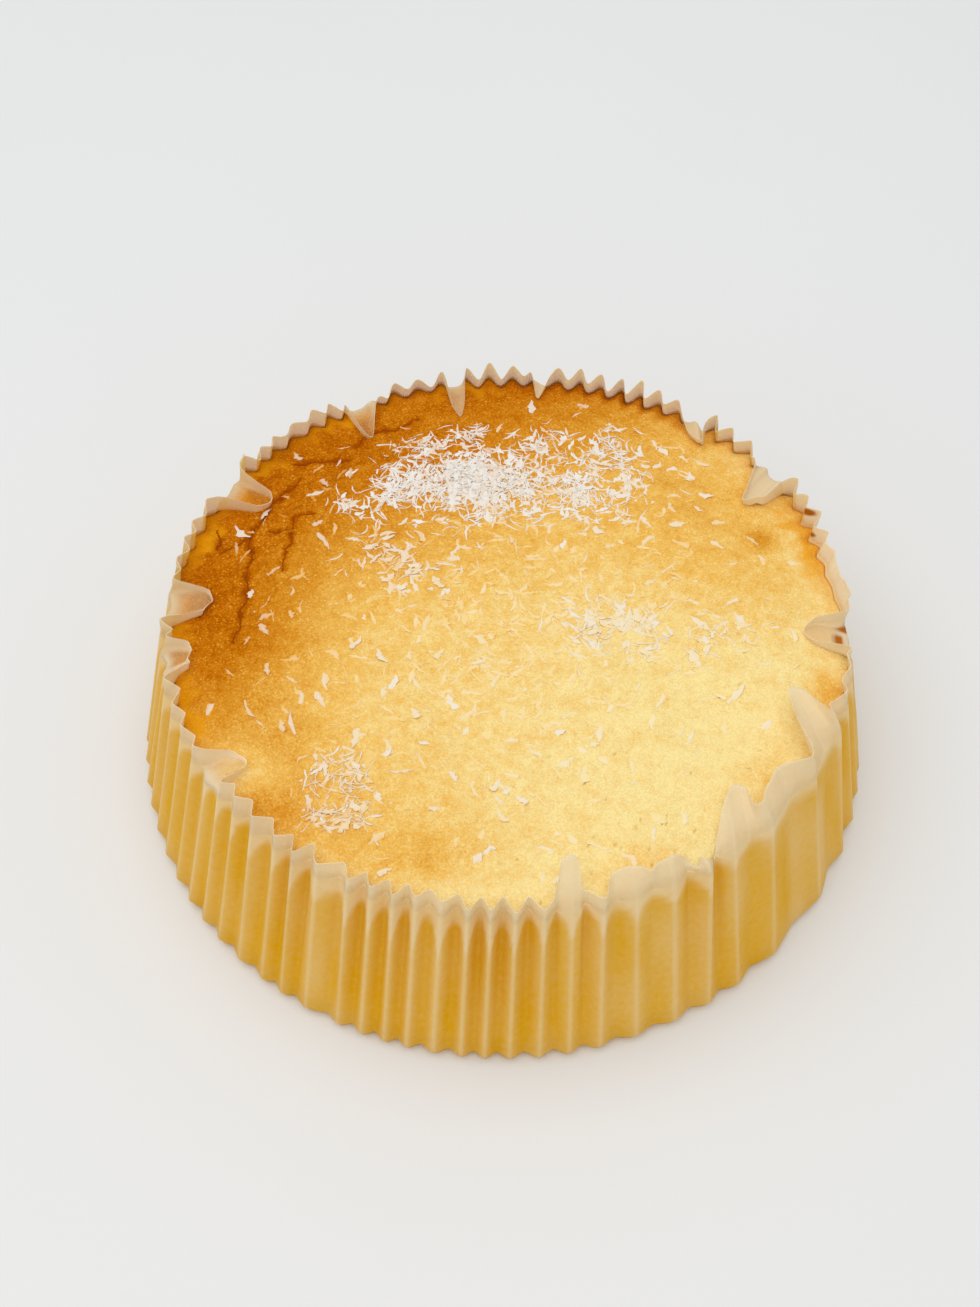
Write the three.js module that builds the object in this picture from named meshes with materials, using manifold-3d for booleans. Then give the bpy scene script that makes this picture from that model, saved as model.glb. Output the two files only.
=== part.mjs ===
// A baked cheesecake in its pleated paper case, with coconut shreds on the crust.
// Units are millimetres, +Z is up, and the origin is the middle of the case's underside.
// Seen from the front, which is the -Y side, +X is to the right. Angles run from +X towards +Y.
import * as THREE from 'three';
import Module from 'manifold-3d';

const { degToRad, euclideanModulo, seededRandom, smoothstep } = THREE.MathUtils;

// Paper case: a pleated wall that leans in towards the rim
const BASE_RADIUS = 95; // to the middle of the pleats at the heel, the widest ring
const RIM_RADIUS = 83.3; // to the middle of the pleats at the rim
const RIM_HEIGHT = 53;
const RIM_SHIFT = new THREE.Vector2(1.5, 1.3); // the rim's middle lies off the foot's middle
const RIM_SQUEEZE = 0.984; // the rim is a little shorter from front to back than across
const HEEL_HEIGHT = 3; // below the heel the wall turns in to the flat underside
const HEEL_TUCK = 1;
const PAPER = 0.4;
const PLEATS = 100;
const PLEAT_REACH_HEEL = 0.9; // from the middle of a pleat to its crest
const PLEAT_REACH_RIM = 1.3;
const PLEAT_UNEVENNESS = 0.25; // share by which the pleats' depth at the rim varies
const RIM_WAVES = [
  { height: 0.7, count: 5, phase: 1 },
  { height: 0.7, count: 11, phase: 2.3 },
];
const FLOOR_RING_RADIUS = 40;
const FLOOR_RING_POINTS = 20;

// Cake: its side follows the pleats, and its crust leaves the paper below the rim
const GAP = 0.5;
const EDGE_HEIGHT = 44; // where the crust leaves the paper
const FRONT_LIFT = 3; // the crust leaves the paper this much higher at the front
const FRONT = { angle: 270, halfWidth: 110 };
const CROWN_HEIGHT = 50.5;
const SHOULDER_POWER = 5;
const SHOULDER_ROUNDING = 0.6;
const CRUST_STEP = 5.4; // between neighbouring points of the crust
const CRUST_CROWDING = 0.35; // how much the crust's rings crowd towards the edge
const RIPPLES = [
  { height: 0.35, alongX: 0.11, alongY: 0.05, phase: 1.2 },
  { height: 0.35, alongX: -0.07, alongY: 0.13, phase: 0.4 },
  { height: 0.2, alongX: 0.21, alongY: 0.17, phase: 0 },
];
const SAG_DEPTH = 0.8; // the left shoulder has sunk outside its crack
const SAG = { angle: 155, halfWidth: 60, from: 0.72, to: 0.8 }; // from and to in shares of the radius

// Where the free paper above the cake folds in, stands up or is low: angles and half widths in
// degrees, and how far the rim leans in and rises there
const FLAPS = [
  { angle: 31, halfWidth: 6, lean: 10, rise: -1.5 },
  { angle: 51, halfWidth: 4, lean: 4, rise: 0 },
  { angle: 97, halfWidth: 3, lean: 7, rise: -1 },
  { angle: 108, halfWidth: 38, lean: 0, rise: -2.5 },
  { angle: 116, halfWidth: 3.5, lean: 8, rise: 0 },
  { angle: 148, halfWidth: 5.5, lean: 12, rise: -2 },
  { angle: 175, halfWidth: 4.5, lean: 8, rise: -2 },
  { angle: 188, halfWidth: 4, lean: 5, rise: -1 },
  { angle: 214, halfWidth: 5, lean: 8, rise: -1 },
  { angle: 279.5, halfWidth: 2.6, lean: 8, rise: 6 },
  { angle: 313, halfWidth: 4, lean: 8, rise: 3 },
  { angle: 322, halfWidth: 17, lean: 0, rise: 4 },
  { angle: 335, halfWidth: 5, lean: 9, rise: 3 },
  { angle: 355, halfWidth: 4.5, lean: 11, rise: -1.5 },
];
// Stretches where the pleats are pressed flat, and the share of their depth that is left
const FLATTENED = [
  { angle: 5, halfWidth: 22, keep: 0.5 },
  { angle: 222, halfWidth: 16, keep: 0.6 },
  { angle: 300, halfWidth: 22, keep: 0.35 },
];

// Cracks in the crust, each a line of [x, y] points
const CRACK_WIDTH = 1.1;
const CRACK_DEPTH = 1.6;
const CRACKS = [
  [[-34, 61], [-38, 56], [-40, 51], [-47, 51.5], [-53, 50]],
  [[-53.5, 45], [-58, 38], [-62, 29], [-64.5, 25], [-63.5, 11], [-66, -6]],
  [[-62.3, 28], [-65, 23], [-71, 20]],
  [[-52.5, 29], [-53.5, 25.5], [-58.5, 25.5]],
];

// Coconut shreds, strewn in patches that thin out from their middles
const SHRED_SEED = 41;
const SHRED_LENGTHS = { longest: 8, shortest: 4 };
const SHRED_WIDTH = 1.5;
const SHRED_TOP_WIDTH = 1.1;
const SHRED_WAIST = 0.45; // where a shred is widest, as a share of the way to its tips
const SHRED_RISE = 0.7; // above the crust
const SHRED_ROOT = 1; // below the crust
const SHRED_LIMIT = 68; // no shred's middle lies further out
const PATCHES = [
  { x: -3, y: 43.5, spreadX: 16, spreadY: 7, shreds: 50 },
  { x: 27, y: 52, spreadX: 8, spreadY: 5, shreds: 8 },
  { x: -23, y: 18, spreadX: 7, spreadY: 7, shreds: 12 },
  { x: 29, y: -4, spreadX: 7, spreadY: 6, shreds: 16 },
  { x: 54, y: -6, spreadX: 6, spreadY: 4, shreds: 6 },
  { x: -38, y: -54, spreadX: 5, spreadY: 6, shreds: 12 },
  { x: 0, y: -8, spreadX: 34, spreadY: 30, shreds: 34 },
];

const COLUMNS = 2 * PLEATS;
const FREE_BEND = 0.3; // share of a flap's lean and rise half way up the free paper

const wasm = await Module();
wasm.setup();

// Share of the way up the wall, from the heel to the rim.
function wallShare(height) {
  return (height - HEEL_HEIGHT) / (RIM_HEIGHT - HEEL_HEIGHT);
}

function mix(from, to, share) {
  return from + (to - from) * share;
}

// The crust's edge is a smooth ring inside the pleats' inner folds.
const EDGE_TOP = EDGE_HEIGHT + FRONT_LIFT;
const EDGE_CLEARANCE = PLEAT_REACH_RIM * (1 + PLEAT_UNEVENNESS) + PAPER + GAP;
const EDGE_RADIUS = mix(BASE_RADIUS, RIM_RADIUS, wallShare(EDGE_TOP)) - EDGE_CLEARANCE;
const EDGE_MIDDLE = pointAt(0, 0, EDGE_TOP);
const EDGE_SQUEEZE = mix(1, RIM_SQUEEZE, wallShare(EDGE_TOP));

// 1 at the angle where a feature lies, fading to 0 at its half width.
function nearness(angle, feature) {
  const turned = angle - degToRad(feature.angle) + Math.PI;
  const away = Math.abs(euclideanModulo(turned, 2 * Math.PI) - Math.PI);
  const share = Math.min(away / degToRad(feature.halfWidth), 1);
  return 0.5 + 0.5 * Math.cos(Math.PI * share);
}

function columnAngle(column) {
  return (2 * Math.PI * column) / COLUMNS;
}

// A point at a radius about the wall's middle line, which drifts off the foot's middle on its way up.
function pointAt(angle, radius, height) {
  const share = Math.max(wallShare(height), 0);
  const x = RIM_SHIFT.x * share + radius * Math.cos(angle);
  const y = RIM_SHIFT.y * share + radius * mix(1, RIM_SQUEEZE, share) * Math.sin(angle);
  return new THREE.Vector3(x, y, height);
}

function edgeHeight(angle) {
  return EDGE_HEIGHT + FRONT_LIFT * nearness(angle, FRONT);
}

function sum(terms) {
  return terms.reduce((total, term) => total + term, 0);
}

// How far a pleat's fold lies from the middle of the pleats at the rim. Outer and inner folds alternate.
function rimReach(column, angle) {
  const pleat = Math.floor(column / 2);
  const uneven = 1 + PLEAT_UNEVENNESS * Math.sin(pleat * pleat);
  const kept = FLATTENED.map((stretch) => mix(1, stretch.keep, nearness(angle, stretch)));
  return kept.reduce((reach, share) => reach * share, PLEAT_REACH_RIM * uneven);
}

// The outer face of the paper along one fold line, from the foot to the rim, as (radius, height).
function outerProfile(column) {
  const angle = columnAngle(column);
  const side = column % 2 === 0 ? 1 : -1;
  const lean = sum(FLAPS.map((flap) => flap.lean * nearness(angle, flap)));
  const rise = sum(FLAPS.map((flap) => flap.rise * nearness(angle, flap)))
    + sum(RIM_WAVES.map((wave) => wave.height * Math.sin(wave.count * angle + wave.phase)));
  const wallPoint = (height, bend) => {
    const share = wallShare(height);
    const reach = side * mix(PLEAT_REACH_HEEL, rimReach(column, angle), share);
    const radius = mix(BASE_RADIUS, RIM_RADIUS, share) + reach - bend * lean;
    return new THREE.Vector2(radius, height + bend * rise);
  };
  const heel = wallPoint(HEEL_HEIGHT, 0);
  const edge = edgeHeight(angle);
  return [
    new THREE.Vector2(heel.x - HEEL_TUCK, 0),
    heel,
    wallPoint(edge, 0),
    wallPoint((edge + RIM_HEIGHT) / 2, FREE_BEND),
    wallPoint(RIM_HEIGHT, 1),
  ];
}

// Moves a profile sideways to its inner side. Below its first point the profile runs level.
function offsetProfile(profile, distance) {
  const normals = [new THREE.Vector2(0, 1)];
  for (let row = 1; row < profile.length; row++) {
    const along = profile[row].clone().sub(profile[row - 1]).normalize();
    normals.push(new THREE.Vector2(-along.y, along.x));
  }
  return profile.map((point, row) => {
    const before = normals[row];
    const after = normals[Math.min(row + 1, normals.length - 1)];
    const mitre = before.clone().add(after).divideScalar(1 + before.dot(after));
    return point.clone().addScaledVector(mitre, distance);
  });
}

// One ring of points for each row of the profiles, which are given column by column.
function ringsOf(profiles) {
  return profiles[0].map((_, row) =>
    profiles.map((profile, column) => pointAt(columnAngle(column), profile[row].x, profile[row].y)));
}

function floorRing(height) {
  const points = [];
  for (let k = 0; k < FLOOR_RING_POINTS; k++) {
    points.push(pointAt((2 * Math.PI * k) / FLOOR_RING_POINTS, FLOOR_RING_RADIUS, height));
  }
  return points;
}

// Joins two rings of points by a band of triangles, across the shorter diagonal where the rings have
// as many points. A ring of one point is a pole.
function addBand(triangles, points, first, firstCount, second, secondCount) {
  const firstSteps = firstCount > 1 ? firstCount : 0;
  const secondSteps = secondCount > 1 ? secondCount : 0;
  let i = 0;
  let j = 0;
  while (i < firstSteps || j < secondSteps) {
    const here = first + (i % firstCount);
    const there = second + (j % secondCount);
    const nextHere = first + ((i + 1) % firstCount);
    const nextThere = second + ((j + 1) % secondCount);
    let lag = (i + 1) * secondSteps - (j + 1) * firstSteps;
    if (lag === 0) {
      lag = points[nextHere].distanceTo(points[there]) - points[here].distanceTo(points[nextThere]);
    }
    if (j === secondSteps || (i < firstSteps && lag <= 0)) {
      triangles.push(here, nextHere, there);
      i += 1;
    } else {
      triangles.push(here, nextThere, there);
      j += 1;
    }
  }
}

// A closed surface through a row of rings that starts and ends with a pole.
function surfaceThrough(rings) {
  const points = rings.flat();
  const triangles = [];
  let first = 0;
  for (let k = 0; k + 1 < rings.length; k++) {
    const second = first + rings[k].length;
    addBand(triangles, points, first, rings[k].length, second, rings[k + 1].length);
    first = second;
  }
  const geometry = new THREE.BufferGeometry().setFromPoints(points);
  geometry.setIndex(triangles);
  return geometry;
}

function solidFrom(geometry) {
  const vertProperties = Float32Array.from(geometry.attributes.position.array);
  const triVerts = Uint32Array.from(geometry.index.array);
  return new wasm.Manifold(new wasm.Mesh({ numProp: 3, vertProperties, triVerts }));
}

function geometryFrom(solid) {
  const mesh = solid.getMesh();
  const geometry = new THREE.BufferGeometry();
  geometry.setAttribute('position', new THREE.BufferAttribute(mesh.vertProperties, 3));
  geometry.setIndex(new THREE.BufferAttribute(mesh.triVerts, 1));
  geometry.computeVertexNormals();
  return geometry;
}

function outerProfiles() {
  return Array.from({ length: COLUMNS }, (_, column) => outerProfile(column));
}

// The case: up the outside from the middle of the underside, over the rim and down the inside.
function caseGeometry() {
  const outside = outerProfiles();
  const inside = outside.map((profile) => offsetProfile(profile, PAPER));
  const rings = [
    [pointAt(0, 0, 0)],
    floorRing(0),
    ...ringsOf(outside),
    ...ringsOf(inside).reverse(),
    floorRing(PAPER),
    [pointAt(0, 0, PAPER)],
  ];
  const geometry = surfaceThrough(rings);
  geometry.computeVertexNormals();
  return geometry;
}

// Height of the crust: a flat dome with a round shoulder, slow ripples and a sunken left shoulder.
function crustHeight(x, y) {
  const fromMiddle = new THREE.Vector2(x - EDGE_MIDDLE.x, (y - EDGE_MIDDLE.y) / EDGE_SQUEEZE);
  const angle = fromMiddle.angle();
  const outward = Math.min(fromMiddle.length() / EDGE_RADIUS, 1);
  const dome = (1 - outward ** SHOULDER_POWER) ** SHOULDER_ROUNDING;
  const ripple = sum(RIPPLES.map((wave) =>
    wave.height * Math.sin(wave.alongX * x + wave.alongY * y + wave.phase)));
  const sunken = SAG_DEPTH * smoothstep(outward, SAG.from, SAG.to) * nearness(angle, SAG);
  const fade = Math.min(SHOULDER_POWER * (1 - outward), 1);
  return mix(edgeHeight(angle), CROWN_HEIGHT, dome) + (ripple - sunken) * fade;
}

function crustPoint(x, y) {
  return new THREE.Vector3(x, y, crustHeight(x, y));
}

function crustRing(radius, count) {
  return Array.from({ length: count }, (_, k) => {
    const { x, y } = pointAt((2 * Math.PI * k) / count, radius, EDGE_TOP);
    return crustPoint(x, y);
  });
}

// The bare cake: underside, side and crust. Its side takes the pleats' print, which fades upwards.
function cakeBody() {
  const bottom = PAPER + GAP;
  const printed = outerProfiles().map((profile) => offsetProfile(profile, PAPER + GAP));
  const [foot, heel] = ringsOf(printed);
  const crustRings = [crustRing(EDGE_RADIUS, COLUMNS)];
  const ringCount = Math.round(EDGE_RADIUS / CRUST_STEP);
  for (let k = ringCount - 1; k > 0; k--) {
    const radius = EDGE_RADIUS * mix(k / ringCount, Math.sqrt(k / ringCount), CRUST_CROWDING);
    crustRings.push(crustRing(radius, Math.round((2 * Math.PI * radius) / CRUST_STEP)));
  }
  return surfaceThrough([
    [pointAt(0, 0, bottom)],
    floorRing(bottom),
    foot,
    heel,
    ...crustRings,
    [crustPoint(EDGE_MIDDLE.x, EDGE_MIDDLE.y)],
  ]);
}

function middleOf(points) {
  const total = points.reduce((soFar, point) => soFar.add(point), new THREE.Vector3());
  return total.divideScalar(points.length);
}

// A thin wedge along one crack, wide above the crust and sharp at its lower edge.
function crackWedge(line) {
  const path = new THREE.CatmullRomCurve3(line.map(([x, y]) => new THREE.Vector3(x, y, 0)));
  const steps = 2 * (line.length - 1);
  const rings = [];
  for (let k = 0; k <= steps; k++) {
    const at = path.getPoint(k / steps);
    const along = path.getTangent(k / steps);
    const left = new THREE.Vector3(-along.y, along.x, 0);
    const top = crustHeight(at.x, at.y) + CRACK_DEPTH;
    const wide = Math.sin((Math.PI * (k + 0.5)) / (steps + 1)) * CRACK_WIDTH;
    rings.push([
      at.clone().setZ(top).addScaledVector(left, wide),
      at.clone().setZ(top).addScaledVector(left, -wide),
      at.clone().setZ(top - 2 * CRACK_DEPTH),
    ]);
  }
  return surfaceThrough([[middleOf(rings[0])], ...rings, [middleOf(rings[steps])]]);
}

// One coconut shred: a flat bent sliver with pointed ends, half sunk in the crust.
function shredSliver(middle, heading, length, bend) {
  const left = new THREE.Vector3(-Math.sin(heading), Math.cos(heading), 0);
  const pointAlong = (end) => {
    const turn = heading + end * bend;
    const x = middle.x + (end * length * Math.cos(turn)) / 2;
    const y = middle.y + (end * length * Math.sin(turn)) / 2;
    return crustPoint(x, y);
  };
  const corner = (at, sideways, lift) => {
    const point = at.clone().addScaledVector(left, sideways);
    return point.setZ(at.z + lift);
  };
  const section = (end) => {
    const at = pointAlong(end);
    return [
      corner(at, SHRED_WIDTH / 2, -SHRED_ROOT),
      corner(at, SHRED_TOP_WIDTH / 2, SHRED_RISE),
      corner(at, -SHRED_TOP_WIDTH / 2, SHRED_RISE),
      corner(at, -SHRED_WIDTH / 2, -SHRED_ROOT),
    ];
  };
  const tip = (end) => [corner(pointAlong(end), 0, -SHRED_ROOT / 2)];
  return surfaceThrough([tip(-1), section(-SHRED_WAIST), section(SHRED_WAIST), tip(1)]);
}

// A draw about 0 that thins out on both sides.
function bellDraw() {
  return Math.sqrt(-2 * Math.log(1 - seededRandom())) * Math.cos(2 * Math.PI * seededRandom());
}

// All shreds, the longest first in every patch.
function shredSlivers() {
  seededRandom(SHRED_SEED);
  const slivers = [];
  for (const patch of PATCHES) {
    for (let k = 0; k < patch.shreds; k++) {
      const middle = new THREE.Vector2(
        patch.x + patch.spreadX * bellDraw(),
        patch.y + patch.spreadY * bellDraw(),
      ).clampLength(0, SHRED_LIMIT);
      const length = mix(SHRED_LENGTHS.longest, SHRED_LENGTHS.shortest, k / patch.shreds);
      const heading = 2 * Math.PI * seededRandom();
      const bend = seededRandom() - 0.5;
      slivers.push(shredSliver(middle, heading, length, bend));
    }
  }
  return slivers;
}

function cakeGeometry() {
  let cake = solidFrom(cakeBody());
  for (const crack of CRACKS) {
    cake = cake.subtract(solidFrom(crackWedge(crack)));
  }
  for (const sliver of shredSlivers()) {
    cake = cake.add(solidFrom(sliver));
  }
  return geometryFrom(cake);
}

const crustFinish = new THREE.MeshStandardMaterial({ color: 0xf0c060, roughness: 0.75, metalness: 0 });
const paperFinish = new THREE.MeshStandardMaterial({ color: 0xe8dcc4, roughness: 0.6, metalness: 0 });

const cake = new THREE.Mesh(cakeGeometry(), crustFinish);
cake.name = 'cake';
const paperCase = new THREE.Mesh(caseGeometry(), paperFinish);
paperCase.name = 'paper_case';

const cheesecake = new THREE.Group();
cheesecake.add(cake, paperCase);

export default cheesecake;
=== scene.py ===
"""Looks of a baked cheesecake in its pleated paper case, with coconut shreds on the crust.

Sizes are millimetres and angles degrees, from +X towards +Y, unless a name says otherwise.
The frame is that of the solids: +Z is up and -Y is the front.
"""
import math
from collections import namedtuple

import bpy
import numpy as np
from mathutils import Matrix, Vector


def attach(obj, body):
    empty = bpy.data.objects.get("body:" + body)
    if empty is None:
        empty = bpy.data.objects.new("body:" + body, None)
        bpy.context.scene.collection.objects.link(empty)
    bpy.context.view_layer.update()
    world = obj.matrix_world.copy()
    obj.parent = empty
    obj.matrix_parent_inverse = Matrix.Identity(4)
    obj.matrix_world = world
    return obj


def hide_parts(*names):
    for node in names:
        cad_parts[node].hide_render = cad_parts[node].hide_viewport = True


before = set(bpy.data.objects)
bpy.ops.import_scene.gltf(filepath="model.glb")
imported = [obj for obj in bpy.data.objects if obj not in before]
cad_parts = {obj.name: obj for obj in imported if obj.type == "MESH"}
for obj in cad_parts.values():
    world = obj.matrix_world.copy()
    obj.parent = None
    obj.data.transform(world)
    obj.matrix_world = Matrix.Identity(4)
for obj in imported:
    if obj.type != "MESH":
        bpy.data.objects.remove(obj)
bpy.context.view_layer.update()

MM = 0.001

# The paper case's wall, as in the solids
BASE_RADIUS = 95.0
RIM_RADIUS = 83.3
RIM_HEIGHT = 53.0
RIM_SHIFT_X = 1.5
RIM_SHIFT_Y = 1.3
RIM_SQUEEZE = 0.984
HEEL_HEIGHT = 3.0
HEEL_TUCK = 1.0

# Smooth noise: its strength, the size of its bumps and the seed of its random numbers
Noise = namedtuple("Noise", "strength size seed")
NOISE_REPEAT = 256

# The paper and its pleats, whose noise has its size in pleats
PAPER = 0.16
COLUMNS = 1200
LOWER_ROWS = 12
FREE_ROWS = 22
PLEAT_ANGLE = 4.1
PLEAT_WANDER = Noise(0.17, 2.0, 8)
PLEAT_REACH_HEEL = 0.9
PLEAT_REACH_RIM = 1.8
PLEAT_UNEVENNESS = Noise(0.45, 1.0, 5)
TIP_UNEVENNESS = Noise(0.8, 0.5, 9)
BEND_POWER = 1.74
FOLD_SHARE = 0.5
CRUMPLE = Noise(0.5, 4.0, 6)
CRUMPLE_GAIN = 2
PAPER_CLEARANCE = 0.06
RESTING_FROM = 0.05
Wave = namedtuple("Wave", "height count phase")
RIM_WAVES = [Wave(0.5, 5, 1.0), Wave(0.5, 11, 2.3)]
Stretch = namedtuple("Stretch", "angle half_width")
CRUMPLED = Stretch(320, 45)

# Stretches of other pleats: how close, how deep and how sharp they are, from 0, a wave, to 1, a zigzag
Pleating = namedtuple("Pleating", "angle half_width closeness depth sharpness")
PLAIN_PLEATING = Pleating(0, 360, 1.0, 1.0, 0.95)
PLEATING = [
    Pleating(0, 30, 0.8, 0.08, 0.9),
    Pleating(68, 26, 1.03, 1.2, 0.3),
    Pleating(105, 22, 0.82, 0.9, 0.25),
    Pleating(136, 16, 1.05, 0.75, 0.5),
    Pleating(165, 20, 0.9, 0.5, 0.8),
    Pleating(203, 16, 0.82, 0.5, 0.985),
    Pleating(228, 16, 1.0, 0.9, 0.99),
    Pleating(241, 5, 0.6, 0.6, 0.98),
    Pleating(257, 16, 1.2, 0.85, 0.6),
    Pleating(290, 14, 0.7, 0.5, 0.7),
    Pleating(320, 32, 0.33, 1.0, 0.99),
]

# Where the free paper leans in: how far its edge goes in and up, how many degrees it is skewed by there,
# whether its middle is pointed, 0, or broad, 1, whether it lies on the crust and how clear it is there
Flap = namedtuple("Flap", "angle half_width lean rise skew breadth lies clear")
FLAPS = [
    Flap(32.5, 5.0, 12.5, -1, -4, 0.5, 1, 0),
    Flap(52, 3.5, 7.5, -1.5, -5, 0.3, 1, 0),
    Flap(83, 2.0, 8, -1, 0, 0, 1, 0),
    Flap(99.2, 2.4, 14, -1.5, 0.8, 0.5, 1, 0.5),
    Flap(118, 4.4, 13.5, -1.5, 3, 0.1, 1, 0.8),
    Flap(146, 2.0, -2, 2, -1, 0, 0, 0),
    Flap(150.8, 4.4, 13, -1.5, -0.5, 0.8, 1, 1),
    Flap(178, 4.6, 9.5, -1.5, -0.5, 0.8, 1, 0.7),
    Flap(190, 4.2, 5, -1, 0, 1, 1, 0.7),
    Flap(214.8, 3.8, 8, -2.5, 0.5, 0.5, 1, 0.7),
    Flap(278.3, 2.6, 8, 5, 0.8, 0.8, 0, 0),
    Flap(287.5, 4.5, 4, 0.5, 0, 0.5, 0, 0),
    Flap(294.5, 4.0, 3, 0.5, 0, 0.5, 0, 0),
    Flap(307, 5.5, 8.5, 3.5, 4, 0.5, 0, 0),
    Flap(317, 9.0, 4, 1, 0, 0.2, 0, 0),
    Flap(329.5, 6.0, 12, 3.0, 6, 0.5, 0, 0),
    Flap(353, 4.6, 11, -3, 0.3, 0.6, 1, 0.5),
]
BROAD_MIDDLE = 0.45

# The leans that fold paper onto the crust and flatten its pleats, and what flaps keep of their depth
FOLDED_LEAN = 5
FLATTENED_LEAN = 6
FLAT_DEPTH, BUNCHED_DEPTH = 0.1, 0.45

# Where the wall is pressed in, from a height upwards, and where the rim is lower or higher
Dent = namedtuple("Dent", "angle half_width depth")
DENT = Dent(9, 24, 3.0)
DENT_FROM = 15.0
Level = namedtuple("Level", "angle half_width rise")
RIM_LEVELS = [Level(8, 14, -1), Level(90, 55, -2.5), Level(300.5, 5, -4.5), Level(320, 14, 3)]

# Arches between the outer folds, where the cake shows golden. Some end lower, and wide ones are blurred
ARCH_TOP = 0.5
ARCH_HEIGHT = 7.0
ARCH_BLUR, WIDE_BLUR = 2.5, 1.8
ARCH_WANDER = Noise(1.0, 3.0, 15)
GOLD_LEVELS = [Level(241.5, 10, -2), Level(256, 30, -1.7)]
CREST_GOLD = 0.8
CREASED_FROM = 0.8
CREASE_PALENESS = 0.22
CLEAR_GOLD = 0.9

# A golden glow above the arches, and how far above the cake's edge it ends and is full
Glow = namedtuple("Glow", "gold end full")
TOP_GLOW = Glow(0.45, 4.5, 0.5)
# At the back the glow is painted: the warm bounce light of a wooden box around the case, which is not
# built, and the box's colour through the paper
BACK_GLOW = Glow(0.75, 13, -1)
BACK = Stretch(105, 115)
BACK_FULL = 0.5

# Pale upright streaks where the paper lies a little off the cake, in close and in wide pleats
FROST_STREAKS = Noise(1.0, 1.0, 25)
FROST_WIDTH, FROST_LENGTH = 5.0, 16.0
FROSTED_CLOSE, FROSTED_WIDE = 0.06, 0.22

# How opaque the paper is: free, at the back, creased, at its end, folded in and clear
FREE_COVER, BACK_COVER, CREASE_COVER = 0.58, 0.5, 0.66
END_COVER, FLAP_COVER, CLEAR_COVER = 0.6, 0.7, 0.05

# How white painted light makes the flaps, standing in for light through the thin paper, and how much of
# the painted light on the paper's end and flaps is lost at the back
FLAP_PAINTED_LIGHT = 0.7
END_DULLNESS, FLAP_DULLNESS = 0.5, 0.2

# Where the paper's end, clear paper and free paper begin, and how near the crust clear paper is
END_FROM = 0.94
CLEAR_FROM, CLEAR_FULL = 0.08, 0.25
CLEAR_GAP = 1.6
STANDING_RANGE, FOLDED_RANGE = (0.5, 3.4), (0, 0.4)

# Brown spots on the paper, and outer folds toasted above the cake's edge
Stain = namedtuple("Stain", "angle height spread_angle spread_height")
STAINS = [
    Stain(16.7, 49.5, 0.7, 1.0),
    Stain(20.5, 51.5, 1.2, 1.2),
    Stain(355.8, 47.2, 1.0, 0.9),
    Stain(352.9, 47.7, 1.7, 0.4),
]
STAIN_FROM, STAIN_FULL = 0.25, 0.7
TOASTED = Stretch(69, 26)
TOAST_HEIGHT = 2.0
TOAST_FADE_UP, TOAST_FADE_DOWN = 2.0, 1.0
TOAST_STRENGTH = 0.3

# The cake, whose edge is higher at the front and lower at the back
EDGE_HEIGHT = 45.5
FRONT_LIFT = 1.5
FRONT = Stretch(270, 110)
BACK_DROP = 2.0
BACK_EDGE = Stretch(88, 68)
CROWN_HEIGHT = 50.5
SHOULDER_POWER = 5
SHOULDER_ROUNDING = 0.6

# Where the crust ends, as a share of the dome's radius, and how far it has risen there
EDGE_MEETING = 0.985
MEETING_DOME = (1 - EDGE_MEETING**SHOULDER_POWER) ** SHOULDER_ROUNDING

# Slow ripples, fine lumps and a sunken left shoulder
Ripple = namedtuple("Ripple", "height along_x along_y phase")
RIPPLES = [
    Ripple(0.35, 0.11, 0.05, 1.2),
    Ripple(0.35, -0.07, 0.13, 0.4),
    Ripple(0.2, 0.21, 0.17, 0.0),
]
LUMPS = [Noise(0.3, 11, 1), Noise(0.16, 4.5, 2), Noise(0.08, 2.2, 3), Noise(0.04, 1.1, 4)]
SAG = Stretch(155, 60)
SAG_DEPTH = 0.8
SAG_FROM, SAG_TO = 0.72, 0.8

# The crust follows the pleats at its edge, with a gap that is wider under folded paper
PLEATED_FROM = 0.92
EDGE_GAP, FOLD_GAP = 0.03, 0.8
CRUST_STEPS = COLUMNS // 4
SIDE_ROWS = 3
SIDE_GAP = 0.3

# Cracks in the left shoulder, as lines of points
CRACK_REACH = 1.4
CRACK_DEPTH = 0.5
CRACK_OPENS = 0.3
CRACK_WANDER = [Noise(0.8, 2.6, 11), Noise(0.45, 0.9, 13)]
CRACKS = [
    [(-22, 68), (-27, 64.4), (-34, 64), (-37, 61), (-38.4, 57.5)],
    [(-40.3, 52.5), (-47, 53.4), (-54, 52)],
    [(-53.4, 47), (-55.3, 43), (-60, 37), (-61.3, 32), (-64.7, 26), (-63.6, 20), (-64, 4.4), (-66, -6)],
    [(-64.5, 26.3), (-67.5, 23.4), (-71, 21.3)],
    [(-48.8, 33), (-52.8, 31.3), (-53.1, 28), (-59.1, 27.5)],
    [(-53.6, 25.6), (-53.8, 21.3), (-55, 14.4)],
    [(-73, 29), (-72.2, 25.6), (-72.5, 23)],
    [(-73, 8), (-73.8, 5), (-75.6, 1)],
]

# Small open pores in the crust
PORE_SEED = 7
PORE_SIZES = (0.25, 0.5)
PORE_STRETCHES = (0.7, 1.6)
PORE_DEPTH = 0.4
Pitted = namedtuple("Pitted", "x y spread pores")
PITTED = [
    Pitted(36, -61, 9, 20),
    Pitted(5, -45, 26, 20),
    Pitted(58, -30, 14, 10),
    Pitted(-63, -44.5, 1.2, 5),
    Pitted(0, -69, 14, 14),
]

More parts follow.
